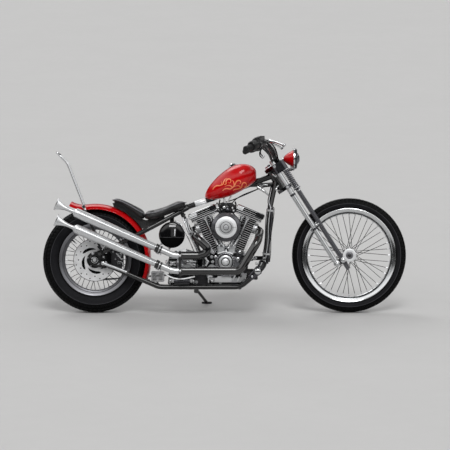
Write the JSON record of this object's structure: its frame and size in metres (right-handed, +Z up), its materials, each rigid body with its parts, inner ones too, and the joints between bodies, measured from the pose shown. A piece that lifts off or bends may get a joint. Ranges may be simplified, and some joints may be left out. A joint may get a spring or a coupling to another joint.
{
  "type": "chopper motorcycle",
  "caption": "Rigid-frame chopper motorcycle with finned V-twin engine, springer fork, wire wheels, twin fishtail exhausts and flamed tank, leaning on its side stand.",
  "frame": {"origin": "middle of the parked machine's footprint, on the floor", "axes": "+X forward from the rear wheel to the front wheel, +Y to the rider's left, +Z up from the floor"},
  "size_m": [2.1541, 0.8164, 1.0715],
  "materials": {
    "tyre_rubber": "matte",
    "rear_rim_metal": "satin",
    "chrome": "polished",
    "black_spokes": "gloss",
    "disc_steel": "satin",
    "black_frame": "gloss",
    "black_engine": "satin",
    "fin_metal": "satin",
    "cast_metal": "satin",
    "dark_pipe": "satin",
    "red_paint": "gloss",
    "black_leather": "satin",
    "black_rubber": "matte",
    "lens_glass": "polished",
    "silver_box": "satin",
    "dark_steel": "satin",
    "chain_steel": "satin"
  },
  "bodies": {
    "chassis": {"frame_tubes": "black_frame", "rear_axle": "chain_steel", "crankcase": "black_engine", "cylinders": "fin_metal", "rocker_covers": "chrome", "pushrod_tubes": "chrome", "cam_cover": "cast_metal", "carburettor": "cast_metal", "air_cleaner": "chrome", "gearbox": "cast_metal", "primary_cover": "chrome", "drive_chain": "chain_steel", "exhaust_pipes": "dark_pipe", "mufflers": "chrome", "fuel_tank": "red_paint", "fuel_cap": "chrome", "oil_tank": "black_frame", "electrical_box": "silver_box", "rear_fender": "red_paint", "seat": "black_leather", "seat_pan": "black_frame", "sissy_bar": "chrome", "exhaust_bracket": "chrome", "brake_caliper": "black_frame", "foot_controls": "dark_steel"},
    "steering": {"fork_rear_legs": "chrome", "fork_front_legs": "dark_steel", "fork_springs": "dark_steel", "fork_rockers": "black_frame", "front_axle": "dark_steel", "fork_trees": "dark_steel", "headlight_shell": "red_paint", "headlight_rim": "chrome", "headlight_lens": "lens_glass", "headlight_reflector": "chrome", "handlebar": "dark_steel", "grips": "black_rubber", "hand_controls": "chrome"},
    "front_wheel": {"front_tyre": "tyre_rubber", "front_rim": "chrome", "front_hub": "black_spokes"},
    "rear_wheel": {"rear_tyre": "tyre_rubber", "rear_rim": "rear_rim_metal", "rear_hub": "black_spokes", "brake_disc": "disc_steel", "rear_sprocket": "chain_steel"},
    "stand": {"side_stand": "black_frame"}
  },
  "joints": [
    {"name": "steering_turn", "type": "hinge", "parent": "chassis", "child": "steering", "pos_m": [0.34315, -0.03946, 0.71763], "axis": [-0.5388, 0.1463, 0.8297], "range_deg": [-34, 34]},
    {"name": "front_wheel_spin", "type": "hinge", "parent": "steering", "child": "front_wheel", "pos_m": [0.73915, -0.10707, 0.33421], "axis": [0, 0.9848, -0.1736], "continuous": true},
    {"name": "rear_wheel_spin", "type": "hinge", "parent": "chassis", "child": "rear_wheel", "pos_m": [-0.76685, -0.11183, 0.3072], "axis": [0, 0.9848, -0.1736], "continuous": true},
    {"name": "stand_fold", "type": "hinge", "parent": "chassis", "child": "stand", "pos_m": [-0.16685, 0.00267, 0.10429], "axis": [0.0935, 0.6558, 0.7491], "range_deg": [0, 106.1]}
  ]
}
